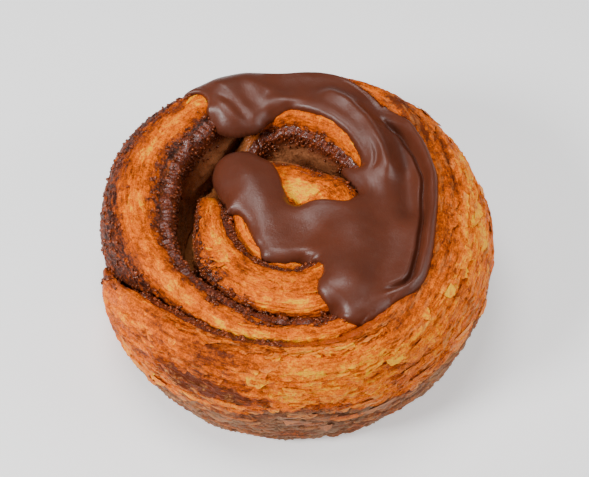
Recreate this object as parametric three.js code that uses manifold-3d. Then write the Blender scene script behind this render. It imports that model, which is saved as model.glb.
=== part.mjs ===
// A danish pastry: one long strip of laminated dough wound into a loose spiral and baked cut side up,
// with a cinnamon and sugar filling on the inner face of the strip and a thick chocolate icing poured
// over its back and right side. The inner turns have slipped towards the front, so that a deep crescent
// hollow is open between the turns at the left and the back.
// Millimetres, +Z up, the front is -Y. The base rests on Z = 0.
//
// The winding angle starts at the strip's outer end and grows inwards. Taken as a polar angle it gives
// the direction from the middle: 180 is left, 270 is the front, 360 is right and 450 is the back.
import * as THREE from 'three';
import { mergeVertices } from 'three/addons/utils/BufferGeometryUtils.js';
import { ParametricGeometry } from 'three/addons/geometries/ParametricGeometry.js';
import Module from 'manifold-3d';

const wasm = await Module();
wasm.setup();

// Driving dimensions.
const outerEnd = 188;            // winding angle of the strip's outer end, in degrees
const innerEnd = 1420;           // winding angle of its inner end
const fullTurn = 360;
const firstContact = 548;        // where the strip first has another turn outside it
const jointAngle = 400;          // where the two lengths that make the strip are joined
const bulgeHeight = 21;          // height of the widest level of the outside wall
const baseInset = 5.8;           // how far the outside wall tucks in at the base
const baseEdgeRound = 1.2;       // rounding where the wall meets the base
const domePower = 2.3;           // fullness of the rounded top of each turn
const shoulderDrop = 2.4;        // least height of the ridge over its outer shoulder
const floorHeight = 6.5;         // bottom crust that closes the hollow
const floorRadius = 45.2;
const fillingThickness = 1.3;
const clearance = 0.3;           // between two separate pieces
const fillingFoot = floorHeight + clearance + 0.4;
const wallLevel = 14.5;          // height of the section points halfway up every wall
const middleHole = 0.6;          // radius left open in the very middle
const stepSize = 42;             // turn between two sections, in degrees times the root of the radius
const icingCell = 2.05;          // size of the icing's grid
const icingColumns = 48;
const icingThickness = 2.3;
const icingEdge = 0.9;           // height of the icing's rounded edge
const icingSink = 4;             // how deep it runs into a groove
const icingFloor = 34;           // lowest level that it lies on where it spans the hollow
const smoothPasses = 3;          // evening out of its top
const middleShift = new THREE.Vector3(-0.87, 1.56, 0);  // brings the widest outline onto the Z axis

// Radius of the outside of the strip, or of the groove outside it, against winding angle.
const grooveRadius = [
  [188, 52.6], [200, 53.6], [230, 53.4], [270, 53.3], [315, 53.1], [360, 54.3], [405, 52.8], [425, 50.9],
  [450, 49.9], [480, 53.4], [500, 55], [515, 55.1], [530, 53.4], [548, 51.2], [560, 48.5], [572, 46.1],
  [586, 44.6], [605, 43.7], [645, 43.3], [662, 41], [680, 36.4],
  [700, 32.9], [720, 32], [742, 34.3], [773, 41.8], [795, 43], [815, 42], [840, 36.6], [870, 30.2],
  [900, 27.9], [925, 31.2], [943, 33.4], [1000, 35.7], [1018, 35], [1040, 29.8], [1080, 22.8], [1115, 21],
  [1147, 18.5], [1185, 21.1], [1210, 21.8], [1260, 18.3], [1300, 19.4], [1345, 21.2], [1390, 16], [1420, 12],
];
// Extra open space between the inner face of the strip and the next turn in, negative where it is pressed on.
const openGap = [
  [188, -2], [204, 0], [465, 0], [490, 2], [512, 4.8], [540, 4.9], [562, 3.1], [585, 0.5], [592, 0],
  [740, 0], [757, 1.8], [787, 6.4], [813, 9.6], [825, 9.6], [840, 5.2], [855, 1.9], [868, 0],
];
// Height of the ridge. The strip dips where it crosses the hollow towards the inner turns.
const ridgeHeight = [
  [188, 20], [200, 27.5], [215, 35.5], [232, 38.8], [250, 39.8], [270, 40], [360, 39.5], [415, 39], [450, 38.3],
  [540, 40.4], [590, 39.6], [630, 38.6], [720, 38], [790, 40], [812, 38.5], [826, 33], [842, 25], [858, 23.5],
  [872, 27], [890, 36], [910, 39.6], [1000, 40.4], [1080, 39], [1150, 37.6], [1220, 38], [1300, 37.6],
  [1380, 35], [1440, 29],
];
// Where the ridge lies between the inner face (0) and the outside (1).
const ridgePlace = [
  [188, 0.3], [250, 0.28], [450, 0.32], [520, 0.4], [570, 0.44], [620, 0.5], [735, 0.5], [765, 0.32],
  [815, 0.32], [840, 0.5], [1180, 0.5], [1260, 0.68], [1420, 0.6],
];
// How deep the groove is on the inner and on the outer side of the ridge.
const innerDepth = [
  [188, 2.4], [320, 2.4], [360, 5], [400, 6.5], [570, 6.5], [600, 3.6], [660, 3.6], [720, 6.5], [870, 6.5],
  [905, 2.8], [1050, 2.8], [1100, 6.5], [1440, 6.5],
];
const outerDepth = [
  [188, 6.5], [590, 6.5], [610, 2.6], [680, 2.6], [720, 6.5], [930, 6.5], [960, 3.6], [1020, 3.6], [1060, 6.5],
  [1235, 6.5], [1265, 2.8], [1440, 2.8],
];
// How much of the outside is bare wall (1) rather than hidden by another turn (0).
const bareWall = [[188, 1], [548, 1], [600, 0], [1440, 0]];
// How far the filling shows over the inner slope of the strip, from the inner face.
const fillingReach = [
  [188, 1.2], [260, 1.6], [420, 2], [470, 3.4], [500, 5], [560, 5], [620, 2.6], [700, 2], [780, 3],
  [830, 2.4], [900, 1.8], [1440, 1.6],
];
// The icing as overlapping strokes, each a chain of discs given as x, y and radius.
const icingStrokes = [
  [[-26.5, 38.5, 4.5], [-19, 36, 9.3], [-14.5, 33.5, 10.5]],
  [[-15, 37, 9.5], [-3, 37.7, 8], [8, 38.2, 8], [17.5, 32.4, 9.4], [25.5, 19, 13]],
  [[27, 17, 11.5], [27.5, 0, 11.3], [24.5, -16, 12.2], [27, -21, 9.2]],
  [[21, -20, 13], [15.8, -30.5, 7.8]],
  [[20, -9, 10.5], [8, -10, 9.8], [-3, -11.2, 8.4]],
  [[-4.5, -9.5, 7.4], [-9.5, 0.5, 8], [-13.2, 9.6, 8.9]],
];
const strokeBlend = 2.5;

const radians = THREE.MathUtils.degToRad;

// A smooth curve through knots of [position, value], held level past its ends.
function curveThrough(knots) {
  const slope = knots.map((knot, i) => {
    if (i === 0 || i === knots.length - 1) return 0;
    const before = (knot[1] - knots[i - 1][1]) / (knot[0] - knots[i - 1][0]);
    const after = (knots[i + 1][1] - knot[1]) / (knots[i + 1][0] - knot[0]);
    return before * after <= 0 ? 0 : (2 * before * after) / (before + after);
  });
  return (x) => {
    const last = knots.length - 1;
    if (x <= knots[0][0]) return knots[0][1];
    if (x >= knots[last][0]) return knots[last][1];
    let i = 0;
    while (x > knots[i + 1][0]) i++;
    const span = knots[i + 1][0] - knots[i][0];
    const t = (x - knots[i][0]) / span;
    const rise = knots[i + 1][1] - knots[i][1];
    const ease = t * t * (3 - 2 * t);
    return knots[i][1] + rise * ease + span * t * (1 - t) * (slope[i] * (1 - t) - slope[i + 1] * t);
  };
}

const grooveAt = curveThrough(grooveRadius);
const gapAt = curveThrough(openGap);
const heightAt = curveThrough(ridgeHeight);
const placeAt = curveThrough(ridgePlace);
const innerDepthAt = curveThrough(innerDepth);
const outerDepthAt = curveThrough(outerDepth);
const bareAt = curveThrough(bareWall);
const reachAt = curveThrough(fillingReach);

// Slow unevenness of hand-rolled dough, about -1 to 1.
function uneven(angle, seed) {
  const a = radians(angle);
  const slow = Math.sin(2.3 * a + seed) + Math.sin(5.1 * a + 2.7 * seed);
  return (slow + 0.8 * Math.sin(9.7 * a + 4.1 * seed)) / 2.8;
}

// Thickness of the filling that lies outside the strip at a winding angle.
function fillingAt(angle) {
  return fillingThickness * THREE.MathUtils.smoothstep(angle, firstContact + 6, firstContact + 30);
}

// The strip's cross-section at a winding angle: its faces, ridge and shoulders.
function stripAt(angle) {
  const covered = THREE.MathUtils.smoothstep(angle, firstContact, firstContact + 10);
  const groove = grooveAt(angle);
  const steepness = Math.hypot(1, (grooveAt(angle + 0.5) - grooveAt(angle - 0.5)) / radians(1) / groove);
  const slot = 2 * clearance * covered + fillingAt(angle);
  const outside = groove - slot * steepness + 0.35 * uneven(angle, 1) * (1 - covered);
  const lastTurn = THREE.MathUtils.smoothstep(angle, innerEnd - fullTurn, innerEnd - fullTurn + 18);
  const inside = THREE.MathUtils.lerp(grooveAt(angle + fullTurn) + gapAt(angle), middleHole, lastTurn);
  const height = heightAt(angle) + 0.5 * uneven(angle, 3);
  const bare = bareAt(angle);
  const ledged = bare * (1 - covered);
  const innerShoulder = height - innerDepthAt(angle);
  const outerSide = THREE.MathUtils.lerp(height - outerDepthAt(angle), bulgeHeight, bare);
  const outerShoulder = Math.min(height - shoulderDrop, outerSide);
  const ridge = THREE.MathUtils.lerp(inside, outside, placeAt(angle));
  return { inside, outside, ridge, height, innerShoulder, outerShoulder, ledged };
}

// The wall tucks in below its widest level, and the turns inside it lean with it.
function tuckedIn(r, z) {
  const below = Math.max(0, 1 - z / bulgeHeight);
  return r - baseInset * (1 - Math.sqrt(Math.max(0, 1 - below * below))) * Math.pow(r / 53, 3);
}

// Fine ledges where the layers of dough end on the bare wall.
function ledge(angle, z, ledged) {
  return ledged * 0.45 * Math.sin(z * 1.15 + 1.4 * uneven(angle * 0.5, 7) + 2.2 * Math.sin(radians(angle)));
}

// Points of the cross-section as [radius, height], round from the foot of the inner face.
function stripSection(angle) {
  const s = stripAt(angle);
  const points = [[s.inside, 0], [s.outside - baseEdgeRound, 0], [s.outside, baseEdgeRound]];
  for (const z of [fillingFoot, wallLevel]) points.push([s.outside + ledge(angle, z, s.ledged), z]);
  for (const degrees of [0, 16, 32, 48, 64, 90]) {
    const [across, up] = domePoint(degrees);
    const z = THREE.MathUtils.lerp(s.outerShoulder, s.height, up);
    const r = THREE.MathUtils.lerp(s.ridge, s.outside, across);
    points.push([r + ledge(angle, z, s.ledged) * across, z]);
  }
  points.push(...innerSlope(s).slice(0, 3).reverse());
  points.push([s.inside, wallLevel], [s.inside, fillingFoot]);
  return points;
}

// A point of a quarter superellipse: [share across, share up].
function domePoint(degrees) {
  const a = radians(degrees);
  const across = Math.pow(Math.max(0, Math.cos(a)), 2 / domePower);
  return [degrees === 90 ? 0 : across, Math.pow(Math.sin(a), 2 / domePower)];
}

// Points up the inner slope, from its foot to the ridge.
function innerSlope(s) {
  return [0, 28, 56, 90].map((degrees) => {
    const [across, up] = domePoint(degrees);
    return [
      THREE.MathUtils.lerp(s.ridge, s.inside, across),
      THREE.MathUtils.lerp(s.innerShoulder, s.height, up),
    ];
  });
}

// Three points on the inner slope between its foot and a given reach, on its corners where it passes them.
function pointsWithin(slope, reach) {
  const corners = slope.map(([r]) => r - slope[0][0]);
  let reaches = [reach / 3, (2 * reach) / 3, reach];
  if (reach > 1.1 * corners[1]) reaches = [corners[1], (corners[1] + reach) / 2, reach];
  if (reach > 1.1 * corners[2]) reaches = [corners[1], corners[2], reach];
  return reaches.map((across) => {
    const i = corners.findIndex((corner) => corner >= across);
    const share = (across - corners[i - 1]) / (corners[i] - corners[i - 1]);
    return [slope[0][0] + across, THREE.MathUtils.lerp(slope[i - 1][1], slope[i][1], share)];
  });
}

// The filling's cross-section: a skin that climbs the inner face and folds over the inner slope.
function fillingSection(angle) {
  const s = stripAt(angle);
  const reach = Math.min(reachAt(angle) * (1 + 0.25 * uneven(angle, 11)), 0.8 * (s.ridge - s.inside));
  const slope = innerSlope(s);
  const lie = [[s.inside, fillingFoot], [s.inside, wallLevel], slope[0], ...pointsWithin(slope, reach)];
  const near = [];
  const far = [];
  lie.forEach((point, i) => {
    const before = lie[Math.max(0, i - 1)];
    const after = lie[Math.min(lie.length - 1, i + 1)];
    const length = Math.hypot(after[0] - before[0], after[1] - before[1]);
    const out = [-(after[1] - before[1]) / length, (after[0] - before[0]) / length];
    const thick = (i === lie.length - 1 ? 0.4 : 1) * fillingAt(angle + fullTurn);
    near.push([point[0] + out[0] * clearance, point[1] + out[1] * clearance]);
    far.push([point[0] + out[0] * (clearance + thick), point[1] + out[1] * (clearance + thick)]);
  });
  return [...far, ...near.reverse()];
}

// Winding angles of the sections along the strip.
function sectionAngles() {
  const angles = [];
  for (let angle = outerEnd; angle < innerEnd - 1; angle += stepSize / Math.sqrt(grooveAt(angle))) {
    angles.push(angle);
  }
  return [...angles, innerEnd];
}

// A cross-section carried along the strip and closed at both ends.
function sweep(section, from, to) {
  const angles = sectionAngles().filter((angle) => angle >= from && angle <= to);
  const rings = angles.map((angle) => section(angle).map(([r, z]) => {
    const radius = tuckedIn(r, z);
    return new THREE.Vector3(radius * Math.cos(radians(angle)), radius * Math.sin(radians(angle)), z);
  }));
  const sides = rings[0].length;
  const middleOf = (ring) => ring.reduce((sum, p) => sum.add(p), new THREE.Vector3()).divideScalar(sides);
  const capped = [
    rings[0].map(() => middleOf(rings[0])),
    ...rings,
    rings[0].map(() => middleOf(rings[rings.length - 1])),
  ];
  return new ParametricGeometry(
    (u, v, target) => target.copy(capped[Math.round(v * (capped.length - 1))][Math.round(u * sides) % sides]),
    sides,
    capped.length - 1,
  );
}

// A closed mesh as a manifold-3d solid, turned outside out if its faces point in.
function solidFrom(geometry) {
  const bare = geometry.clone();
  bare.deleteAttribute('normal');
  bare.deleteAttribute('uv');
  const merged = mergeVertices(bare, 1e-4);
  const corners = [];
  const index = merged.index.array;
  for (let i = 0; i < index.length; i += 3) {
    const [a, b, c] = [index[i], index[i + 1], index[i + 2]];
    if (a !== b && b !== c && a !== c) corners.push(a, b, c);
  }
  const make = (triVerts) => new wasm.Manifold(new wasm.Mesh({
    numProp: 3,
    vertProperties: merged.attributes.position.array,
    triVerts: new Uint32Array(triVerts),
  }));
  const solid = make(corners);
  if (solid.volume() > 0) return solid;
  return make(corners.map((_, i) => corners[i - (i % 3) + 2 - (i % 3)]));
}

function geometryFrom(solid) {
  const { vertProperties, triVerts } = solid.getMesh();
  const geometry = new THREE.BufferGeometry();
  geometry.setAttribute('position', new THREE.BufferAttribute(vertProperties, 3));
  geometry.setIndex(new THREE.BufferAttribute(triVerts, 1));
  geometry.computeVertexNormals();
  return geometry;
}

// The wound strip, joined to the crust that closes its underside.
function doughSolid() {
  const outer = solidFrom(sweep(stripSection, outerEnd, jointAngle + 10));
  const inner = solidFrom(sweep(stripSection, jointAngle, innerEnd));
  const crust = new THREE.CylinderGeometry(floorRadius, floorRadius - 1.5, floorHeight, 60);
  crust.rotateX(Math.PI / 2).translate(0, 0, floorHeight / 2);
  return outer.add(inner).add(solidFrom(crust));
}

// Height of the top of the dough at a point, or a low number where there is none.
function doughTop(x, y) {
  const r = Math.hypot(x, y);
  const direction = (THREE.MathUtils.radToDeg(Math.atan2(y, x)) + fullTurn) % fullTurn;
  let top = floorHeight;
  for (let angle = direction; angle <= innerEnd; angle += fullTurn) {
    if (angle < outerEnd) continue;
    const s = stripAt(angle);
    if (r > s.outside + 0.4 || r < s.inside - fillingThickness - 2 * clearance) continue;
    const outward = r > s.ridge;
    const across = Math.min(1, Math.abs(r - s.ridge) / Math.abs((outward ? s.outside : s.inside) - s.ridge));
    const up = Math.pow(Math.max(0, 1 - Math.pow(across, domePower)), 1 / domePower);
    const shoulder = outward ? s.outerShoulder : s.innerShoulder;
    const onFilling = r < s.inside + reachAt(angle) * 1.3 ? fillingThickness + clearance : 0;
    top = Math.max(top, THREE.MathUtils.lerp(shoulder, s.height, up) + onFilling);
  }
  return top;
}

// Signed distance to the icing's outline in plan, negative inside.
function icingOutline(x, y) {
  let total = 0;
  for (const stroke of icingStrokes) {
    for (let i = 0; i < stroke.length - 1; i++) {
      const [ax, ay, ar] = stroke[i];
      const [bx, by, br] = stroke[i + 1];
      const along = ((x - ax) * (bx - ax) + (y - ay) * (by - ay)) / ((bx - ax) ** 2 + (by - ay) ** 2);
      const t = THREE.MathUtils.clamp(along, 0, 1);
      const distance = Math.hypot(x - ax - t * (bx - ax), y - ay - t * (by - ay)) - ar - t * (br - ar);
      total += Math.exp(-distance / (strokeBlend / 3));
    }
  }
  return -Math.log(total) * (strokeBlend / 3);
}

// Mean or greatest height of the dough round a point, over rings of samples.
function aroundPoint(x, y, radii, least, join) {
  const samples = [Math.max(least, doughTop(x, y))];
  for (const radius of radii) {
    for (let k = 0; k < 10; k++) {
      const a = (k / 10) * 2 * Math.PI;
      samples.push(Math.max(least, doughTop(x + radius * Math.cos(a), y + radius * Math.sin(a))));
    }
  }
  return join(samples);
}
const mean = (values) => values.reduce((sum, value) => sum + value, 0) / values.length;
const greatest = (values) => Math.max(...values);

// The icing's thickness at a point: a rounded edge that grows to the full thickness inwards.
function icingThicknessAt(x, y, onEdge) {
  const inward = onEdge ? 0 : Math.min(1, -icingOutline(x, y) / 3);
  return icingEdge + (icingThickness - icingEdge) * Math.sqrt(1 - (1 - inward) ** 2);
}

// The icing: a skin between a smoothed copy of the relief and the dough that it lies on.
function icingSolid() {
  const columns = icingColumns;
  const half = (columns / 2) * icingCell;
  const key = (i, j) => i * (columns + 1) + j;
  const kept = [];
  for (let i = 0; i < columns; i++) {
    for (let j = 0; j < columns; j++) {
      if (icingOutline((i + 0.5) * icingCell - half, (j + 0.5) * icingCell - half) < 0) kept.push([i, j]);
    }
  }
  const cornersOf = ([i, j]) => [key(i, j), key(i + 1, j), key(i + 1, j + 1), key(i, j + 1)];
  const uses = new Map();
  for (const k of kept.flatMap(cornersOf)) uses.set(k, (uses.get(k) ?? 0) + 1);

  const points = new Map();
  for (const [k, count] of uses) {
    const onEdge = count < 4;
    let x = Math.floor(k / (columns + 1)) * icingCell - half;
    let y = (k % (columns + 1)) * icingCell - half;
    for (let pass = 0; onEdge && pass < 4; pass++) {
      const d = icingOutline(x, y);
      const dx = (icingOutline(x + 0.01, y) - d) / 0.01;
      const dy = (icingOutline(x, y + 0.01) - d) / 0.01;
      const size = dx * dx + dy * dy + 1e-9;
      x -= (d * dx) / size;
      y -= (d * dy) / size;
    }
    const smooth = aroundPoint(x, y, [1.6, 3.2], icingFloor, mean);
    const under = aroundPoint(x, y, [1.1, 2.1], smooth - icingSink, greatest) + clearance + 0.15;
    const thick = icingThicknessAt(x, y, onEdge);
    points.set(k, { x, y, under, thick, top: Math.max(smooth + thick, under + thick * 0.75) });
  }
  for (let pass = 0; pass < smoothPasses; pass++) {
    const even = new Map();
    for (const [k, point] of points) {
      const around = [k, k - 1, k + 1, k - columns - 1, k + columns + 1].filter((near) => points.has(near));
      even.set(k, mean(around.map((near) => points.get(near).top - points.get(near).thick)));
    }
    for (const [k, point] of points) {
      point.top = Math.max(even.get(k), point.under - point.thick * 0.25) + point.thick;
    }
  }

  const place = new Map();
  const vertices = [];
  for (const [k, point] of points) {
    place.set(k, vertices.length / 3);
    vertices.push(point.x, point.y, point.under, point.x, point.y, point.top);
  }
  const faces = [];
  const quad = (a, b, c, d) => faces.push(a, b, c, a, c, d);
  const isKept = new Set(kept.map(([i, j]) => key(i, j)));
  for (const [i, j] of kept) {
    const [a, b, c, d] = cornersOf([i, j]).map((k) => place.get(k));
    quad(a + 1, b + 1, c + 1, d + 1);
    quad(a, d, c, b);
    if (!isKept.has(key(i, j - 1))) quad(a, b, b + 1, a + 1);
    if (!isKept.has(key(i + 1, j))) quad(b, c, c + 1, b + 1);
    if (!isKept.has(key(i, j + 1))) quad(c, d, d + 1, c + 1);
    if (!isKept.has(key(i - 1, j))) quad(d, a, a + 1, d + 1);
  }
  const geometry = new THREE.BufferGeometry();
  geometry.setAttribute('position', new THREE.Float32BufferAttribute(vertices, 3));
  geometry.setIndex(faces);
  return solidFrom(geometry);
}

const materials = {
  bakedDough: new THREE.MeshStandardMaterial({ color: 0xc8742a, roughness: 0.55, metalness: 0 }),
  cinnamonSugar: new THREE.MeshStandardMaterial({ color: 0x5a2412, roughness: 0.35, metalness: 0 }),
  chocolate: new THREE.MeshStandardMaterial({ color: 0x4a2620, roughness: 0.3, metalness: 0 }),
};

function piece(name, solid, material) {
  const mesh = new THREE.Mesh(geometryFrom(solid), material);
  mesh.name = name;
  return mesh;
}

const fillingStart = firstContact + 16 - fullTurn;
const fillingEnd = innerEnd - fullTurn - 6;
const fillingSolid = solidFrom(sweep(fillingSection, fillingStart, fillingEnd));

const pastry = new THREE.Group();
pastry.add(
  piece('dough_spiral', doughSolid(), materials.bakedDough),
  piece('cinnamon_filling', fillingSolid, materials.cinnamonSugar),
  piece('chocolate_icing', icingSolid(), materials.chocolate),
);
pastry.position.copy(middleShift);

export default pastry;
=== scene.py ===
import math

import bpy
import numpy as np
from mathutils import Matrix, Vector


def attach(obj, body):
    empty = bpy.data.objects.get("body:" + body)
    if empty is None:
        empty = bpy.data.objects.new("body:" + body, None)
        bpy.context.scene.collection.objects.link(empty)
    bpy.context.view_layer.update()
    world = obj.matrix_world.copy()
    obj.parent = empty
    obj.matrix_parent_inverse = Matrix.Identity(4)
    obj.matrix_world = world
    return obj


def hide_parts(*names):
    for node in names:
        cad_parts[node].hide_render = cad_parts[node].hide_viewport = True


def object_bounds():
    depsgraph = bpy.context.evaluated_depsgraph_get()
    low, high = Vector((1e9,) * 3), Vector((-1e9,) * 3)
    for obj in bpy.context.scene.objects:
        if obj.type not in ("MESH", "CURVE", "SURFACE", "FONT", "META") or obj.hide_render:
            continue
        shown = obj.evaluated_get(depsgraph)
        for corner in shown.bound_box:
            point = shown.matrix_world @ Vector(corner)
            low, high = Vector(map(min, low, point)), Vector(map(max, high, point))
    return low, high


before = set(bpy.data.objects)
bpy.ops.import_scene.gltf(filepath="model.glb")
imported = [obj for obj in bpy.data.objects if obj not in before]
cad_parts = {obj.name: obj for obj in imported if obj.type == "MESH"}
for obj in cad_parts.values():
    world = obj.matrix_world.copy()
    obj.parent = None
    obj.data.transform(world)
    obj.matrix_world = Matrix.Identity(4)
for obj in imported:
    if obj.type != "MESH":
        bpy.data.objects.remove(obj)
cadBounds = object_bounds()
mm = 0.001
fullTurn = 360

# The wound strip, with the part's own driving values. Winding angles are degrees that grow inwards from the
# outer end: 180 is left, 270 front, 360 right and 450 back. Each list of pairs is knots of angle and value.
strip = {
    "outerEnd": 188, "innerEnd": 1420, "firstContact": 548, "bulgeHeight": 21, "baseInset": 5.8,
    "baseEdgeRound": 1.2, "domePower": 2.3, "floorHeight": 6.5, "floorRadius": 45.2, "tuckRadius": 53,
    "middleHole": 0.6, "fillingThickness": 1.3, "clearance": 0.3, "shift": (-0.87, 1.56),
    "outsideWave": 0.35, "ridgeWave": 0.5, "shoulderDrop": 2.4,
    "grooveRadius": [
        (188, 52.6), (200, 53.6), (230, 53.4), (270, 53.3), (315, 53.1), (360, 54.3), (405, 52.8),
        (425, 50.9), (450, 49.9), (480, 53.4), (500, 55), (515, 55.1), (530, 53.4), (548, 51.2), (560, 48.5),
        (572, 46.1), (586, 44.6), (605, 43.7), (645, 43.3), (662, 41), (680, 36.4), (700, 32.9), (720, 32),
        (742, 34.3), (773, 41.8), (795, 43), (815, 42), (840, 36.6), (870, 30.2), (900, 27.9), (925, 31.2),
        (943, 33.4), (1000, 35.7), (1018, 35), (1040, 29.8), (1080, 22.8), (1115, 21), (1147, 18.5),
        (1185, 21.1), (1210, 21.8), (1260, 18.3), (1300, 19.4), (1345, 21.2), (1390, 16), (1420, 12)],
    "openGap": [
        (188, -2), (204, 0), (465, 0), (490, 2), (512, 4.8), (540, 4.9), (562, 3.1), (585, 0.5), (592, 0),
        (740, 0), (757, 1.8), (787, 6.4), (813, 9.6), (825, 9.6), (840, 5.2), (855, 1.9), (868, 0)],
    "ridgeHeight": [
        (188, 20), (200, 27.5), (215, 35.5), (232, 38.8), (250, 39.8), (270, 40), (360, 39.5), (415, 39),
        (450, 38.3), (540, 40.4), (590, 39.6), (630, 38.6), (720, 38), (790, 40), (812, 38.5), (826, 33),
        (842, 25), (858, 23.5), (872, 27), (890, 36), (910, 39.6), (1000, 40.4), (1080, 39), (1150, 37.6),
        (1220, 38), (1300, 37.6), (1380, 35), (1440, 29)],
    "ridgePlace": [
        (188, 0.3), (250, 0.28), (450, 0.32), (520, 0.4), (570, 0.44), (620, 0.5), (735, 0.5), (765, 0.32),
        (815, 0.32), (840, 0.5), (1180, 0.5), (1260, 0.68), (1420, 0.6)],
    "innerDepth": [
        (188, 2.0), (320, 1.8), (360, 5), (400, 6.5), (570, 6.5), (600, 3.6), (660, 3.6), (720, 6.5),
        (870, 6.5), (905, 2.8), (1050, 2.8), (1100, 6.5), (1440, 6.5)],
    "outerDepth": [
        (188, 6.5), (590, 6.5), (610, 2.0), (680, 2.0), (720, 6.5), (930, 6.5), (960, 3.6), (1020, 3.6),
        (1060, 6.5), (1235, 6.5), (1265, 2.8), (1440, 2.8)],
    "bareWall": [(188, 1), (548, 1), (600, 0), (1440, 0)],
    "fillingReach": [
        (188, 0.3), (440, 0.3), (470, 0.8), (500, 1.6), (560, 1.6), (590, 0.8), (700, 0.5), (740, 0.2),
        (820, 0.2), (830, 1), (870, 1), (900, 0.2), (1440, 0.2)],
}


# A smooth curve through knots of (position, value), read at every x and level past its ends.
def curveThrough(knots, x):
    at, value = np.array(knots, float).T
    steps = np.diff(value) / np.diff(at)
    both = steps[:-1] * steps[1:]
    slope = np.zeros(len(at))
    slope[1:-1] = np.where(both > 0, 2 * both / np.where(both > 0, steps[:-1] + steps[1:], 1), 0)
    x = np.clip(x, at[0], at[-1])
    i = np.clip(np.searchsorted(at, x, side="right") - 1, 0, len(at) - 2)
    span = at[i + 1] - at[i]
    t = (x - at[i]) / span
    ease = t * t * (3 - 2 * t)
    bend = slope[i] * (1 - t) - slope[i + 1] * t
    return value[i] + (value[i + 1] - value[i]) * ease + span * t * (1 - t) * bend


def smoothstep(x, low, high):
    t = np.clip((x - low) / (high - low), 0, 1)
    return t * t * (3 - 2 * t)


def blend(a, b, share):
    return a + (b - a) * share


# 1 in the middle of a soft band, 0 away from it.
def hump(x, halfWidth):
    return np.exp(-(x / halfWidth) ** 2)


# 1 between two winding angles, easing in and out over the pairs given.
def between(angle, fadeIn, fadeOut):
    return smoothstep(angle, *fadeIn) * (1 - smoothstep(angle, *fadeOut))


# Slow unevenness of hand-rolled dough, about -1 to 1.
def uneven(angle, seed):
    a = np.radians(angle)
    return (np.sin(2.3 * a + seed) + np.sin(5.1 * a + 2.7 * seed) + 0.8 * np.sin(9.7 * a + 4.1 * seed)) / 2.8


def grooveAt(angle):
    return curveThrough(strip["grooveRadius"], angle)


# Thickness of the filling that lies outside the strip at a winding angle.
def fillingAt(angle):
    contact = strip["firstContact"]
    return strip["fillingThickness"] * smoothstep(angle, contact + 6, contact + 30)


# The strip's cross-section at winding angles: its faces, ridge and shoulders.
def stripAt(angle):
    groove = grooveAt(angle)
    covered = smoothstep(angle, strip["firstContact"], strip["firstContact"] + 10)
    steepness = np.hypot(1, (grooveAt(angle + 0.5) - grooveAt(angle - 0.5)) / math.radians(1) / groove)
    slot = 2 * strip["clearance"] * covered + fillingAt(angle)
    outside = groove - slot * steepness + strip["outsideWave"] * uneven(angle, 1) * (1 - covered)
    lastTurn = smoothstep(angle, strip["innerEnd"] - fullTurn, strip["innerEnd"] - fullTurn + 18)
    gap = curveThrough(strip["openGap"], angle)
    inside = blend(grooveAt(angle + fullTurn) + gap, strip["middleHole"], lastTurn)
    height = curveThrough(strip["ridgeHeight"], angle) + strip["ridgeWave"] * uneven(angle, 3)
    bare = curveThrough(strip["bareWall"], angle)
    innerShoulder = height - curveThrough(strip["innerDepth"], angle)
    outerShoulder = blend(height - curveThrough(strip["outerDepth"], angle), strip["bulgeHeight"], bare)
    outerShoulder = np.minimum(height - strip["shoulderDrop"], outerShoulder)
    ridge = blend(inside, outside, curveThrough(strip["ridgePlace"], angle))
    return {"inside": inside, "outside": outside, "ridge": ridge, "height": height, "gap": gap,
            "innerShoulder": innerShoulder, "outerShoulder": outerShoulder, "bare": bare}


# The wall tucks in below its widest level, and the turns inside it lean with it.
def tuckedIn(r, z):
    below = np.maximum(0, 1 - z / strip["bulgeHeight"])
    drawnIn = strip["baseInset"] * (1 - np.sqrt(np.maximum(0, 1 - below * below)))
    return r - drawnIn * (r / strip["tuckRadius"]) ** 3


# Height of the dough's top over points in plan, with the filling left out.
def doughTop(x, y):
    r = np.hypot(x, y)
    direction = np.degrees(np.arctan2(y, x)) % fullTurn
    top = np.full(r.shape, float(strip["floorHeight"]))
    fillingRoom = strip["fillingThickness"] + 2 * strip["clearance"]
    for turn in range(4):
        angle = direction + fullTurn * turn
        s = stripAt(angle)
        face = np.where(r > s["ridge"], s["outside"], s["inside"])
        shoulder = np.where(r > s["ridge"], s["outerShoulder"], s["innerShoulder"])
        across = np.minimum(1, np.abs(r - s["ridge"]) / np.abs(face - s["ridge"]))
        up = (1 - across ** strip["domePower"]) ** (1 / strip["domePower"])
        onStrip = (r <= s["outside"] + strip["clearance"]) & (r >= s["inside"] - fillingRoom)
        onStrip &= (angle >= strip["outerEnd"]) & (angle <= strip["innerEnd"])
        top = np.where(onStrip, np.maximum(top, blend(shoulder, s["height"], up)), top)
    return top


# Smooth gradient noise, about -1 to 1, one value for each point of the last axis.
gradients = np.random.default_rng(3).normal(size=(4096, 3))
gradients /= np.linalg.norm(gradients, axis=1)[:, None]


def noise(points, seed=0):
    cell = np.floor(points).astype(np.int64)
    local = points - cell
    ease = local ** 3 * (local * (local * 6 - 15) + 10)
    total = 0
    for corner in range(8):
        offset = np.array([corner & 1, corner >> 1 & 1, corner >> 2 & 1])
        at = cell + offset
        pick = (at[..., 0] * 73856093 ^ at[..., 1] * 19349663 ^ at[..., 2] * 83492791 ^ seed * 2654435) & 4095
        weight = np.where(offset, ease, 1 - ease).prod(-1)
        total = total + weight * ((local - offset) * gradients[pick]).sum(-1)
    return total * 1.6


def fractal(points, octaves, seed=0):
    return sum(noise(points * 2.03 ** k, seed + k) * 0.5 ** k for k in range(octaves))


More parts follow.
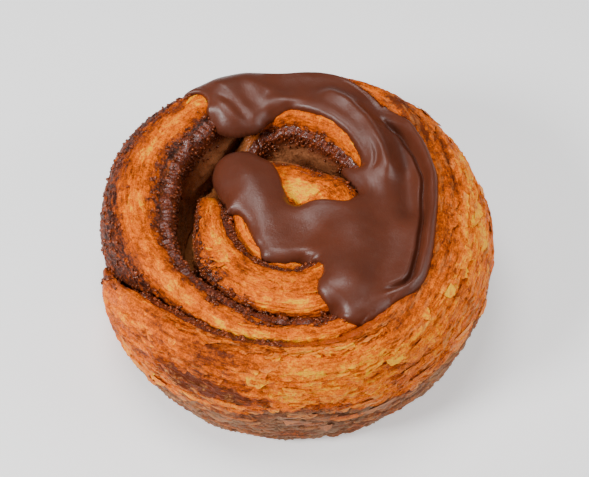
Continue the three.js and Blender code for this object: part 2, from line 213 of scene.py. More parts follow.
# Rounded lumps of two sizes, from the size of noise's folds.
def lumpsOf(points, sizes, seed, fineShare):
    return np.abs(noise(points / sizes[0], seed)) + fineShare * np.abs(noise(points / sizes[1], seed + 1))


# Points of a plane noise from two lengths along and across something.
def plane(along, across, level=0.0):
    along, across = np.broadcast_arrays(along, across)
    return np.stack([along, across, np.full(along.shape, float(level))], -1)


# Unit normals of a grid of points, turned so that one of its columns faces outwards, or inwards for side -1.
def facingNormals(points, rings, column, side=1):
    normals = np.cross(np.gradient(points, axis=0), np.gradient(points, axis=1))
    normals = normals / np.maximum(np.linalg.norm(normals, axis=-1, keepdims=True), 1e-9)
    outward = np.array([np.cos(np.radians(rings)), np.sin(np.radians(rings))]).T * side
    return normals if (normals[:, column, :2] * outward).sum(-1).mean() > 0 else -normals


# Quads of a grid of rows by columns, as corner indices.
def gridFaces(rows, columns):
    i, j = np.meshgrid(np.arange(rows - 1), np.arange(columns - 1), indexing="ij")
    corner = (i * columns + j).ravel()
    return np.stack([corner, corner + 1, corner + columns + 1, corner + columns], -1)


# Adds an object to the scene.
def shown(name, data):
    piece = bpy.data.objects.new(name, data)
    bpy.context.collection.objects.link(piece)
    return piece


# Makes an object from points in millimetres, faces with one number of corners and values for each point.
def meshObject(name, points, faces, values, material):
    mesh = bpy.data.meshes.new(name)
    mesh.vertices.add(len(points))
    mesh.vertices.foreach_set("co", (points * mm).astype(np.float32).ravel())
    mesh.loops.add(faces.size)
    mesh.loops.foreach_set("vertex_index", faces.ravel().astype(np.int32))
    mesh.polygons.add(len(faces))
    mesh.polygons.foreach_set("loop_start", np.arange(0, faces.size, faces.shape[1], dtype=np.int32))
    mesh.update(calc_edges=True)
    mesh.polygons.foreach_set("use_smooth", np.ones(len(faces), bool))
    for key, value in values.items():
        kind = "FLOAT_VECTOR" if value.ndim == 2 else "FLOAT"
        field = mesh.attributes.new(key, kind, "POINT")
        field.data.foreach_set("vector" if value.ndim == 2 else "value", value.astype(np.float32).ravel())
    mesh.materials.append(material)
    return shown(name, mesh)


# Points in millimetres round the strip's middle, brought onto the part's own axis and kept inside its box.
def placed(points):
    low, high = (np.array(corner) / mm for corner in cadBounds)
    return np.clip(points + np.array([*strip["shift"], 0]), low, high)


# Winding angles of rings that lie a given step apart along the ridge, and their places along it.
def ringAngles(start, end, step):
    fine = np.arange(start, end, 0.25)
    middle = np.maximum(stripAt(fine)["ridge"], 6)
    length = np.concatenate([[0], np.cumsum(np.radians(0.25) * (middle[1:] + middle[:-1]) / 2)])
    marks = np.linspace(0, length[-1], int(length[-1] / step) + 1)
    return np.interp(marks, length, fine), marks


# Resamples polylines of (r, z) along their length, with a weight that gives visible stretches more points.
def resampled(r, z, weight, count):
    step = np.hypot(np.diff(r, axis=1), np.diff(z, axis=1))
    length = np.concatenate([np.zeros((len(r), 1)), np.cumsum(step, 1)], 1)
    step = step * (weight[:, 1:] + weight[:, :-1]) / 2
    heavy = np.concatenate([np.zeros((len(r), 1)), np.cumsum(step, 1)], 1)
    out = []
    for i in range(len(r)):
        targets = np.linspace(0, heavy[i, -1], count)
        out.append([np.interp(targets, heavy[i], row[i]) for row in (r, z, length)])
    return np.array(out).transpose(1, 0, 2)


def aroundAxis(r, z, angle):
    turn = np.radians(angle)[:, None]
    return np.stack([r * np.cos(turn), r * np.sin(turn), z], -1)


# Several lots of points, faces and values as one.
def joinedPieces(pieces):
    start, points, faces = 0, [], []
    for lot in pieces:
        points.append(lot[0])
        faces.append(lot[1] + start)
        start += len(lot[0])
    values = {key: np.concatenate([lot[2][key] for lot in pieces]) for key in pieces[0][2]}
    return np.concatenate(points), np.concatenate(faces), values


print("scene: maths ready")


# A new material: its node tree and its surface shader.
def newMaterial(name):
    material = bpy.data.materials.new(name)
    material.use_nodes = True
    tree = material.node_tree
    tree.nodes.clear()
    output = tree.nodes.new("ShaderNodeOutputMaterial")
    surface = tree.nodes.new("ShaderNodeBsdfPrincipled")
    tree.links.new(surface.outputs[0], output.inputs["Surface"])
    return material, tree, surface


# Sets a node's inputs, each to a value or to another node's output.
def setInputs(tree, node, values):
    for name, value in values.items():
        if isinstance(value, bpy.types.NodeSocket):
            tree.links.new(value, node.inputs[name])
        else:
            node.inputs[name].default_value = value


# Adds a node; the functions below add one each and return the output that is used next.
def newNode(tree, kind, values):
    node = tree.nodes.new("ShaderNode" + kind)
    setInputs(tree, node, values)
    return node


def attribute(tree, name, vector=False):
    node = newNode(tree, "Attribute", {})
    node.attribute_name = name
    return node.outputs["Vector" if vector else "Fac"]


def scaled(tree, vector, factors, offset=(0, 0, 0)):
    return newNode(tree, "Mapping", {"Vector": vector, "Scale": factors, "Location": offset}).outputs[0]


def noiseOf(tree, vector, scale, detail=4.0, roughness=0.55, distortion=0.0):
    return newNode(tree, "TexNoise", {"Vector": vector, "Scale": scale, "Detail": detail,
                                      "Roughness": roughness, "Distortion": distortion}).outputs["Fac"]


def cellsOf(tree, vector, scale):
    return newNode(tree, "TexVoronoi", {"Vector": vector, "Scale": scale}).outputs["Distance"]


def mapped(tree, value, fromLow, fromHigh, toLow=0.0, toHigh=1.0):
    return newNode(tree, "MapRange", {"Value": value, "From Min": fromLow, "From Max": fromHigh,
                                      "To Min": toLow, "To Max": toHigh}).outputs[0]


def calculated(tree, operation, a, b=0.0, clamped=False):
    node = newNode(tree, "Math", {0: a, 1: b})
    node.operation = operation
    node.use_clamp = clamped
    return node.outputs[0]


def mixed(tree, share, *colors):
    node = tree.nodes.new("ShaderNodeMix")
    node.data_type = "RGBA"
    a, b = (color if isinstance(color, bpy.types.NodeSocket) else (*color, 1) for color in colors)
    setInputs(tree, node, {0: share, 6: a, 7: b})
    return node.outputs[2]


def rampOf(tree, value, stops):
    node = newNode(tree, "ValToRGB", {0: value})
    elements = node.color_ramp.elements
    while len(elements) < len(stops):
        elements.new(0.5)
    for element, (place, color) in zip(elements, stops):
        element.position = place
        element.color = (*color, 1)
    return node.outputs[0]


# Bumps of a height, a strength and a depth, over those of another bump's output where one is given.
def bumped(tree, height, strength, depth, over=None):
    values = {"Height": height, "Strength": strength, "Distance": depth * mm}
    return newNode(tree, "Bump", values if over is None else {**values, "Normal": over}).outputs[0]


# Poured chocolate icing. The outline is a closed curve through corners in plan, clockwise from the left tip.
icing = {
    "cell": 0.4, "thickness": 1.9, "under": 1.7, "lipWidth": 2.4, "floor": 36.0, "cover": 0.7, "hug": 0.45,
    # How widely its body, its calm middle and its skin are smoothed.
    "near": 1.3, "calm": 3.0, "skin": 0.9,
    "chocolate": (0.092, 0.0225, 0.0102), "reddish": (0.110, 0.025, 0.010), "dusty": (0.110, 0.040, 0.025),
    # Swollen lobes: middle, radius, extra width of the rounded edge and extra height.
    "lobes": [
        (-18.5, 31, 8, 6.5, 2.8), (-16, 11, 8, 6.5, 2.6), (-9, 1, 8, 5, 1.2), (14.5, -28.5, 8, 6.5, 2.2)],
    # The cord along the right edge: how far in its groove lies, the groove's half width and depth, its swell,
    # and where it fades out.
    "cord": {"inset": 3.8, "halfWidth": 0.8, "depth": 2.3, "swell": 0.9,
             "x": (20, 27), "low": (-31, -25), "high": (26, 32)},
    # Folds that the icing set in: points along each, its half width and its height, negative for a valley.
    "folds": [
        ([(22, 33), (25.5, 27.7), (28.8, 19.6), (30.6, 10.3), (31.1, -0.6)], 4.2, -2.6),
        ([(10.2, 36.8), (15.7, 33.1), (20.5, 27.4), (24, 19), (25.8, 12)], 2.0, 2.2),
        ([(-19.7, 39.8), (-13.3, 42), (-8.6, 38.4), (-3, 34.5)], 3.6, 1.6),
        ([(-25.8, 40.3), (-21.5, 36.9), (-16.7, 33.6), (-12.5, 29)], 0.9, -1.2),
        ([(21.5, -4.4), (17.2, -10.2), (13.2, -15.5), (8.1, -22.5)], 0.35, -0.22),
        ([(-7.7, 37.4), (-7.2, 37)], 0.8, -0.8)],
    "outline": [
        (-30.7, 38.3), (-29.3, 40.6), (-26, 43), (-20, 45.8), (-15.4, 47.2), (-11.2, 47.2), (-7, 46.2),
        (-3, 46), (1, 46.4), (5, 46.8), (8.5, 46.4), (12.6, 45), (17, 42), (21, 38.6), (25.5, 34.4),
        (28.9, 31.3), (32.6, 27.3), (34.5, 23.3), (36.4, 18.7), (37.6, 14.2), (38.6, 9.5), (38.6, 3.4),
        (37.7, -4.9), (36.8, -11.4), (35.7, -17.5), (34.7, -21.4), (33.2, -25.1), (30.6, -28.3),
        (27.5, -30.1), (25.4, -31.2), (22.6, -33.8), (19.6, -35.8), (16.4, -36.6), (13, -35.6), (9.4, -32.6),
        (6.4, -28.8), (6.2, -25.6), (7.6, -22.2), (6.6, -18.4), (2, -17), (-2.8, -17.6), (-7.8, -16.6),
        (-8.9, -13.3), (-10.1, -11.2), (-12.3, -5.4), (-14.5, -2.6), (-16.3, -2.3), (-17.6, -2.4),
        (-18.2, 0.3), (-18.8, 2.8), (-20.5, 6.4), (-21.6, 9.4), (-21.7, 12.8), (-20.8, 16), (-18.6, 18.5),
        (-15.2, 19.8), (-12.2, 19.9), (-9.5, 18.8), (-7, 16.5), (-4.8, 13.3), (-3.2, 9.4), (-2.4, 6),
        (-0.6, 2.6), (2.1, 1.6), (7.4, 1.6), (14, 1), (17.2, 4.6), (16.6, 7), (13.8, 11.4), (13.6, 14.4),
        (18.3, 14.5), (16.4, 19.8), (13.6, 24.2), (9.2, 28.2), (5, 31), (0, 32.8), (-3, 32.2), (-6.6, 30.6),
        (-8.9, 27.6), (-12.9, 26), (-16.5, 25.4), (-20.1, 26.5), (-22.4, 28.8), (-24, 32), (-23.8, 34),
        (-24.4, 36), (-26, 38), (-28.4, 38.6)],
}


# A closed smooth curve through the outline's corners.
def closedCurve(corners, steps):
    p = np.array(corners, float)
    before, here, after, later = (np.roll(p, shift, 0) for shift in (1, 0, -1, -2))
    t = np.linspace(0, 1, steps, endpoint=False)[:, None, None]
    curve = 0.5 * (2 * here + (after - before) * t + (2 * before - 5 * here + 4 * after - later) * t ** 2
                   + (3 * here - before - 3 * after + later) * t ** 3)
    return curve.transpose(1, 0, 2).reshape(-1, 2)


# Distance to a closed curve, positive inside, for points in plan.
def insideDistance(x, y, curve):
    points = np.stack([x.ravel(), y.ravel()], -1)
    nearest = np.full(len(points), 1e9)
    crossings = np.zeros(len(points), int)
    for a, b in zip(curve, np.roll(curve, -1, 0)):
        edge = b - a
        t = np.clip(((points - a) @ edge) / max(edge @ edge, 1e-12), 0, 1)
        nearest = np.minimum(nearest, np.hypot(*(points - a - t[:, None] * edge).T))
        level = (a[1] > points[:, 1]) != (b[1] > points[:, 1])
        height = edge[1] if abs(edge[1]) > 1e-12 else 1e-12
        crossings += level & (points[:, 0] < edge[0] * (points[:, 1] - a[1]) / height + a[0])
    return np.where(crossings % 2 == 1, nearest, -nearest).reshape(x.shape)


# Gaussian smoothing of a grid.
def softened(field, radius):
    reach = int(math.ceil(radius * 3))
    offsets = np.arange(-reach, reach + 1)
    kernel = np.exp(-0.5 * (offsets / radius) ** 2)
    kernel /= kernel.sum()
    for axis in (0, 1):
        padded = np.pad(field, [(reach, reach) if a == axis else (0, 0) for a in (0, 1)], mode="edge")
        field = sum(k * np.take(padded, np.arange(field.shape[axis]) + i, axis) for i, k in enumerate(kernel))
    return field


# Distance of points in plan from a chain of straight stretches.
def chainDistance(x, y, chain):
    nearest = np.full(x.shape, 1e9)
    for (ax, ay), (bx, by) in zip(chain, chain[1:]):
        share = ((x - ax) * (bx - ax) + (y - ay) * (by - ay)) / ((bx - ax) ** 2 + (by - ay) ** 2)
        share = np.clip(share, 0, 1)
        nearest = np.minimum(nearest, np.hypot(x - ax - share * (bx - ax), y - ay - share * (by - ay)))
    return nearest


# What the icing's top adds for the cord along its right edge.
def cordRelief(x, y, inward, wave):
    cord = icing["cord"]
    along = smoothstep(x, *cord["x"]) * between(y, cord["low"], cord["high"])
    inset = inward - cord["inset"] - 0.35 * noise(wave / 7, 143)
    return along * (cord["swell"] * hump(inset + 1.9, 1.2) - cord["depth"] * hump(inset, cord["halfWidth"]))


# Eases heights over the part's top down to it.
def belowTop(height):
    ceiling = cadBounds[1][2] / mm + 0.1
    return ceiling - np.log1p(np.exp((ceiling - height) * 2)) / 2


# The icing over a grid in plan: the distance in from its outline, what it lies on, and its top.
def icingField():
    curve = closedCurve(icing["outline"], 5)
    cell, margin = icing["cell"], 4
    low, high = curve.min(0) - margin, curve.max(0) + margin
    x, y = np.meshgrid(np.arange(low[0], high[0], cell), np.arange(low[1], high[1], cell), indexing="ij")
    wave = np.stack([x, y, 0 * x], -1)
    inward = insideDistance(x, y, curve)
    top = doughTop(x, y)
    held = np.maximum(top, icing["floor"])
    near = softened(held, icing["near"] / cell)
    # A mean that leans towards the ridges, so that the icing evens out the turns under it.
    calm = np.log(softened(np.exp((held - 40) * 0.5), icing["calm"] / cell)) / 0.5 + 40
    body = blend(near, calm, smoothstep(inward, 0.2, 3.2))
    for chain, halfWidth, height in icing["folds"]:
        body = body + height * hump(chainDistance(x, y, chain), halfWidth) * smoothstep(inward, 0, 2.0)
    wide, swell = np.full(x.shape, icing["lipWidth"]), np.zeros(x.shape)
    for lobeX, lobeY, radius, extraWidth, extraHeight in icing["lobes"]:
        share = np.exp(-((x - lobeX) ** 2 + (y - lobeY) ** 2) / radius ** 2)
        wide, swell = wide + extraWidth * share, swell + extraHeight * share
    rounded = np.sqrt(np.clip(1 - (1 - np.clip(inward / wide, 0, 1)) ** 2, 0, 1))
    hugging = np.maximum(top, near - 0.7) - icing["hug"]
    base = blend(hugging, body, smoothstep(inward, 0.2, 2.2))
    upper = base + (icing["thickness"] + swell) * rounded
    upper = blend(upper, softened(upper, icing["skin"] / cell), smoothstep(inward, 0.6, 2.2))
    upper = upper + cordRelief(x, y, inward, wave)
    upper = upper + (0.14 * noise(wave / 6, 141) + 0.02 * noise(wave / 2.2, 142)) * rounded
    return {"x": x, "y": y, "inward": inward, "rounded": rounded, "base": base, "upper": belowTop(upper)}


poured = icingField()


# Values of a grid of the icing at points in plan.
def atIcing(grid, x, y):
    i = np.clip((x - poured["x"][0, 0]) / icing["cell"], 0, grid.shape[0] - 1.001)
    j = np.clip((y - poured["y"][0, 0]) / icing["cell"], 0, grid.shape[1] - 1.001)
    i0, j0 = i.astype(int), j.astype(int)
    u, v = i - i0, j - j0
    near = blend(grid[i0, j0], grid[i0, j0 + 1], v)
    far = blend(grid[i0 + 1, j0], grid[i0 + 1, j0 + 1], v)
    return blend(near, far, u)


# Keeps points of the dough and the filling below the icing that covers them.
def underIcing(points):
    x, y, z = np.moveaxis(points, -1, 0)
    inward = atIcing(poured["inward"], x, y)
    lowered = np.minimum(z, atIcing(poured["upper"], x, y) - icing["cover"])
    return np.stack([x, y, blend(z, lowered, smoothstep(inward, 0.9, 1.8))], -1)


def icingMaterial():
    material, tree, surface = newMaterial("chocolate_icing")
    place = attribute(tree, "place", vector=True)
    broad = noiseOf(tree, place, 0.09, 3, 0.5)
    mottled = noiseOf(tree, place, 0.35, 4, 0.6)
    color = mixed(tree, mapped(tree, broad, 0.35, 0.68), icing["chocolate"], icing["reddish"])
    ripple = bumped(tree, noiseOf(tree, place, 0.5, 3, 0.5), 0.12, 0.5)
    setInputs(tree, surface, {
        "Base Color": mixed(tree, mapped(tree, mottled, 0.55, 0.8, 0.0, 0.25), color, icing["dusty"]),
        "Roughness": mapped(tree, mottled, 0.3, 0.7, 0.32, 0.42),
        "Normal": bumped(tree, noiseOf(tree, place, 2.6, 4, 0.6), 0.45, 0.14, ripple),
        "Specular IOR Level": 0.40, "Subsurface Weight": 0.05, "Subsurface Scale": 1.0 * mm})
    return material


# The icing as a closed skin: the field's top and underside inside the outline, drawn together at the edge.
def icingPiece():
    x, y, inward = poured["x"], poured["y"], poured["inward"]
    under = poured["base"] - icing["under"] * poured["rounded"]
    kept = (inward[:-1, :-1] + inward[1:, :-1] + inward[1:, 1:] + inward[:-1, 1:]) / 4 > 0.0
    i, j = np.nonzero(kept)
    columns = x.shape[1]
    corner = i * columns + j
    quads = np.stack([corner, corner + columns, corner + columns + 1, corner + 1], -1)
    used, packed = np.unique(quads, return_inverse=True)
    quads = packed.reshape(-1, 4)
    onEdge = np.bincount(quads.ravel()) < 4
    px, py, d = x.ravel()[used], y.ravel()[used], inward.ravel()[used]
    gx, gy = (g.ravel()[used] for g in np.gradient(inward, icing["cell"]))
    steep = np.maximum(gx ** 2 + gy ** 2, 0.3)
    px = np.where(onEdge, px - d * gx / steep, px)
    py = np.where(onEdge, py - d * gy / steep, py)
    zUp = np.where(onEdge, poured["base"].ravel()[used], poured["upper"].ravel()[used])
    lowerIndex = np.where(onEdge, np.arange(len(used)), np.cumsum(~onEdge) - 1 + len(used))
    topPoints = np.stack([px, py, zUp], -1)
    lowPoints = np.stack([px, py, under.ravel()[used]], -1)[~onEdge]
    points = np.concatenate([topPoints, lowPoints])
    faces = np.concatenate([quads, lowerIndex[quads][:, ::-1]])
    return points, faces, {"place": points.copy()}


# Baked dough. The mesh carries each point's tone (0 burnt to 1 golden, with painted highlights and painted
# shade mixed in), tan (dry pale flakes), gray (dull layers of the foot, lighter on their raised edges as a
# painted highlight), syrup (wet walls of the hollow, their colour lightened as painted fill light), sugar
# (dark cinnamon crust) and wet (its gloss).
# Its strip attribute is the place along the strip and out from the ridge.
dough = {
    "ringStep": 0.48, "across": 240,
    "tones": [(0.00, (0.030, 0.009, 0.006)), (0.12, (0.075, 0.018, 0.009)), (0.26, (0.180, 0.034, 0.010)),
              (0.40, (0.350, 0.058, 0.004)), (0.54, (0.560, 0.086, 0.001)), (0.68, (0.790, 0.135, 0.001)),
              (0.82, (0.940, 0.215, 0.001)), (0.92, (1.000, 0.310, 0.001)), (1.00, (1.000, 0.480, 0.001))],
    # The syrup colour is lightened well past dark syrup, a painted fill light for the shaded hollow.
    "tan": (0.66, 0.280, 0.090), "gray": (0.33, 0.195, 0.118), "syrupAndFillLight": (0.40, 0.135, 0.042),
    # Heights of the relief, and the periods and sizes of its forms.
    "layerRelief": 0.46, "flakeRelief": 0.42, "crackDepth": 0.40, "footRelief": 0.70, "bubble": 0.24,
    "crag": 0.28, "swell": 0.5, "grain": 0.55, "layerPeriod": 1.5, "footPeriod": 1.6,
    "bubbleSizes": (1.15, 0.6), "cragSize": 2.6, "swellSize": 11, "grainSizes": (2.0, 1.0), "cloudSize": 9,
    # Noise over the strip: lengths along and across it, level, octaves and seed.
    "patterns": {
        "wobble": (7, 3.5, 3, 4, 11), "clumps": (3.2, 2.2, 8, 3, 21), "broadWarp": (17, 7, 1, 3, 31),
        "fineWarp": (3.6, 1.8, 2, 3, 41), "strength": (11, 4, 5, 3, 51), "layerTone": (16, 1, 6, 1, 53),
        "sheets": (9, 3.2, 9, 5, 57), "cracks": (21, 1.9, 19, 4, 58), "crackPlaces": (12, 4, 20, 1, 59),
        "patchAngle": (6, 3, 4, 4, 93), "patchSide": (6, 2.5, 5, 4, 94), "ragged": (5, 2, 15, 4, 96),
        "threads": (15, 0.9, 16, 3, 97), "dull": (9, 3, 17, 2, 98), "strata": (18, 6, 21, 4, 99),
        "dry": (6, 2.2, 12, 3, 111), "lip": (2.4, 1.4, 18, 1, 113)},
    # Paler and more baked places: winding angle, distance out from the ridge, half widths and change of tone.
    "patches": [
        (212, 4.5, 14, 3.5, 0.14), (240, 9, 14, 7.5, -0.13), (243, 16.6, 17, 4.4, -0.42),
        (281, 7.5, 22, 9, 0.23), (272, 15, 9, 3, 0.06), (300, 14, 8, 5, -0.08), (318, 6, 14, 5, 0.12),
        (350, 9, 24, 5, 0.15), (378, 12, 28, 6, 0.13), (322, 17, 22, 6, 0.08), (352, 3.5, 20, 1.5, -0.10),
        (404, 1, 14, 2.2, -0.26), (330, 12, 12, 3, -0.06), (590, 3.6, 26, 1.7, 0.20),
        (500, 0.5, 24, 1.8, 0.12), (510, 4.2, 34, 1.6, -0.10), (545, 1.5, 14, 2.2, 0.06),
        (625, 3.2, 18, 2.0, 0.12), (672, 1, 18, 4, -0.10), (640, -2.5, 20, 2.4, -0.12), (985, 5, 22, 3, 0.10),
        (960, -3, 12, 2, -0.12), (938, -1.5, 12, 2.0, 0.05), (1000, 0, 20, 2.2, -0.10),
        # The strong paler patch at 1150 is the pale inner turn, made paler still as painted light.
        (915, 1, 14, 3, -0.08), (1150, -3.2, 40, 3.6, 0.60), (1150, 2.6, 30, 1.6, -0.10),
        (800, -4, 30, 3.0, 0.02)],
    # Long creases: winding angles, distances out from the ridge, half width, depth and change of tone.
    # Each crease's change of tone darkens it, a painted shade.
    "creases": [
        ((322, 425), (3.6, 6.4), 0.55, 0.55, -0.16), ((298, 405), (9.5, 13), 0.5, 0.45, -0.12),
        ((330, 432), (15, 19), 0.6, 0.45, -0.12), ((222, 300), (9, 12.5), 0.45, 0.30, -0.06),
        ((252, 330), (16.5, 19.5), 0.5, 0.40, -0.08), ((478, 585), (1.6, 3.0), 0.3, 0.30, -0.10),
        ((468, 560), (-0.6, -0.2), 0.3, 0.25, -0.08), ((600, 690), (0.4, 1.2), 0.35, 0.30, -0.10),
        ((930, 1040), (2.6, 3.2), 0.35, 0.30, -0.10)],
    # How far below the ridge the browned and layered foot of the wall starts, against winding angle.
    "foot": [(188, 33), (222, 29), (243, 25), (258, 22.5), (271, 19.5), (286, 22.5), (302, 27), (313, 29),
             (335, 30), (450, 30)],
    # How far the bare orange crust reaches from the ridge to each side, and how dark the sugar past it is.
    "bareOut": [
        (188, 40), (400, 40), (425, 28), (450, 14), (470, 5), (488, 3), (515, 3.4), (555, 3.5), (569, 4.4),
        (579, 5.0), (600, 4.4), (615, 7.5), (632, 9), (645, 9), (655, 4.4), (690, 3.6), (740, 4), (760, 6),
        (790, 6), (812, 3), (830, 1.8), (880, 0.6), (925, 0.4), (939, 0.8), (952, 1.6), (969, 3.4),
        (983, 5.6), (1000, 6.5), (1040, 6), (1120, 2.6), (1150, 2.4), (1190, 2.4), (1260, 8), (1420, 8)],
    "bareIn": [
        (188, 7), (250, 6), (330, 5), (400, 4), (440, 3.0), (470, 2.4), (500, 2.2), (540, 2.2), (560, 1.8),
        (575, 0.8), (600, 0.4), (625, 1.2), (640, 2.5), (690, 4), (750, 6.5), (775, 6), (800, 4.6),
        (815, 3.4), (835, 1.5), (870, 1), (900, 2.2), (930, 5), (1040, 7), (1100, 8), (1188, 8), (1250, 4),
        (1420, 4)],
    "darkOut": [(188, 1), (575, 1), (600, 0.9), (700, 0.8), (760, 0.9), (900, 1), (950, 0.9), (990, 0.7),
                (1060, 0.6), (1120, 0.9), (1200, 0.9), (1260, 0)],
    "darkIn": [(188, 0.9), (440, 0.9), (470, 1), (560, 0.95), (590, 0.7), (660, 0.6), (700, 0.8), (740, 1),
               (900, 0.9), (940, 0.6), (1040, 0.6), (1110, 0.9), (1420, 0.9)],
}


# The crust's colour from the mesh's values and the fine noise over it.
def crustColor(tree, along, streak, mottled, grain):
    bands = noiseOf(tree, scaled(tree, along, (0.09, 0.42, 1)), 1.0, 4, 0.55, 1.2)
    # Thin dark lines where a noise crosses its middle: painted shade of fine creases, with no relief under
    # them.
    line = noiseOf(tree, scaled(tree, along, (0.14, 0.85, 1), (7, 3, 0)), 1.0, 4, 0.55, 1.2)
    creaseShadeLine = calculated(tree, "ABSOLUTE", calculated(tree, "SUBTRACT", line, 0.5))
    tone = attribute(tree, "tone")
    changes = (streak, 0.2, 0.12), (bands, 0.25, 0.13), (mottled, 0.2, 0.15), (grain, 0.2, 0.20)
    for fine, reach, change in changes:
        tone = calculated(tree, "ADD", tone, mapped(tree, fine, 0.5 - reach, 0.5 + reach, -change, change))
    tone = calculated(tree, "SUBTRACT", tone, mapped(tree, creaseShadeLine, 0.0, 0.02, 0.14, 0.0))
    lowest = mapped(tree, attribute(tree, "sugar"), 0.0, 0.6, 0.20, 0.0)
    color = rampOf(tree, calculated(tree, "MAXIMUM", tone, lowest), dough["tones"])
    dusty = mapped(tree, streak, 0.42, 0.6)
    dusty = calculated(tree, "MULTIPLY", attribute(tree, "tan"), dusty, clamped=True)
    color = mixed(tree, dusty, color, dough["tan"])
    for name in ("gray", "syrupAndFillLight"):
        color = mixed(tree, attribute(tree, name), color, dough[name])
    return color


def doughMaterial():
    material, tree, surface = newMaterial("baked_dough")
    along = attribute(tree, "strip", vector=True)
    place = attribute(tree, "place", vector=True)
    streak = noiseOf(tree, scaled(tree, along, (0.24, 1.15, 1)), 1.0, 4, 0.55, 1.1)
    mottled = noiseOf(tree, place, 0.62, 4, 0.55, 0.6)
    grain = noiseOf(tree, place, 2.3, 5, 0.7)
    rougher = bumped(tree, mottled, 0.7, 0.6, bumped(tree, streak, 0.8, 0.45))
    setInputs(tree, surface, {
        "Base Color": crustColor(tree, along, streak, mottled, grain),
        "Roughness": mapped(tree, mottled, 0.3, 0.7, 0.34, 0.52),
        "Normal": bumped(tree, grain, 0.9, 0.30, rougher),
        "Coat Weight": mapped(tree, attribute(tree, "wet"), 0.3, 0.9, 0.03, 0.55),
        "Coat Normal": bumped(tree, grain, 0.5, 0.30, bumped(tree, mottled, 0.35, 0.5)),
        "Coat Roughness": 0.13, "Coat IOR": 1.42,
        "Specular IOR Level": 0.06, "Specular Tint": (1.0, 0.70, 0.45, 1),
        "Subsurface Weight": 0.05, "Subsurface Radius": (1.0, 0.3, 0.1), "Subsurface Scale": 1.0 * mm})
    return material


# Points of the strip's section from the outer foot over the ridge to the inner foot, and their weights.
def doughSections(angle):
    s = {key: value[:, None] for key, value in stripAt(angle).items()}
    steps = 60
    t = np.linspace(0, 1, steps)[None, :]
    quarter = t * math.pi / 2
    across = np.maximum(np.cos(quarter), 0) ** (2 / strip["domePower"])
    up = np.sin(quarter) ** (2 / strip["domePower"])
    edge = strip["baseEdgeRound"]
    wallZ = s["outerShoulder"] * t ** 1.2
    wallR = s["outside"] - edge * (1 - np.sqrt(np.clip(1 - np.clip(1 - wallZ / edge, 0, 1) ** 2, 0, 1)))
    outerR, outerZ = blend(s["ridge"], s["outside"], across), blend(s["outerShoulder"], s["height"], up)
    innerR, innerZ = blend(s["ridge"], s["inside"], across), blend(s["innerShoulder"], s["height"], up)
    footR, footZ = np.broadcast_to(s["inside"], outerR.shape), blend(s["innerShoulder"], 4.0, t)
    r = np.concatenate([wallR, outerR[:, 1:], innerR[:, ::-1][:, 1:], footR[:, 1:]], 1)
    z = np.concatenate([wallZ, outerZ[:, 1:], innerZ[:, ::-1][:, 1:], footZ[:, 1:]], 1)
    facesHollow = smoothstep(curveThrough(strip["openGap"], angle - fullTurn)[:, None], 0.2, 1.5)
    facesHollow = facesHollow * (angle[:, None] > 500)
    hidden, seen = 0.12, 0.7
    outer = np.maximum(s["bare"], np.maximum(hidden, facesHollow * seen))
    outer = np.maximum(outer, smoothstep(z, s["outerShoulder"] - 5, s["outerShoulder"] - 2))
    inner = np.maximum(hidden, smoothstep(s["gap"], 0.2, 1.5) * seen)
    inner = np.maximum(inner, smoothstep(z, s["innerShoulder"] - 4, s["innerShoulder"] - 1))
    atInner = np.arange(r.shape[1])[None, :] > 2 * steps - 1
    return r, z, np.where(atInner, inner, outer)


# The strip's surface as a grid: winding angles, places along it and out from its ridge, points and normals.
def doughGrid():
    rings, marks = ringAngles(strip["outerEnd"], strip["innerEnd"], dough["ringStep"])
    r, z, weight = doughSections(rings)
    r, z, length = resampled(tuckedIn(r, z), z, weight, dough["across"])
    out = np.take_along_axis(length, z.argmax(1)[:, None], 1) - length
    points = aroundAxis(r, z, rings)
    angle = np.broadcast_to(rings[:, None], r.shape)
    return {"rings": rings, "angle": angle, "along": marks[:, None], "out": out, "points": points,
            "normals": facingNormals(points, rings, 10), "bare": curveThrough(strip["bareWall"], angle)}


# One of the dough's noise patterns over its grid; out may stand in for the grid's own distance.
def pattern(name, grid, out=None):
    lengthAlong, lengthOut, level, octaves, seed = dough["patterns"][name]
    out = grid["out"] if out is None else out
    return fractal(plane(grid["along"] / lengthAlong, out / lengthOut, level), octaves, seed)


# Where the dark cinnamon sugar lies: how dark it is by rule, and its share with clumps and spills.
def sugarOver(grid, wobble):
    angle, out = grid["angle"], grid["out"]
    bareOut, bareIn = curveThrough(dough["bareOut"], angle), curveThrough(dough["bareIn"], angle)
    darkOut, darkIn = curveThrough(dough["darkOut"], angle), curveThrough(dough["darkIn"], angle)
    dark = np.maximum(smoothstep(out + 1.6 * wobble, bareOut - 0.6, bareOut + 4.2) * darkOut,
                      smoothstep(-out + 1.4 * wobble, bareIn - 1.2, bareIn + 3.6) * darkIn)
    dark = np.maximum(dark, 0.5 * smoothstep(angle + 10 * wobble, 204, 192))
    clumps = pattern("clumps", grid)
    spill = between(angle, (565, 590), (690, 710)) * smoothstep(-out, -0.6, 1.2)
    sugar = np.clip(dark + 0.45 * clumps * (dark > 0.02) * (dark < 0.98), 0, 1)
    return dark, np.maximum(sugar, 0.8 * smoothstep(clumps, 0.0, 0.35) * spill)


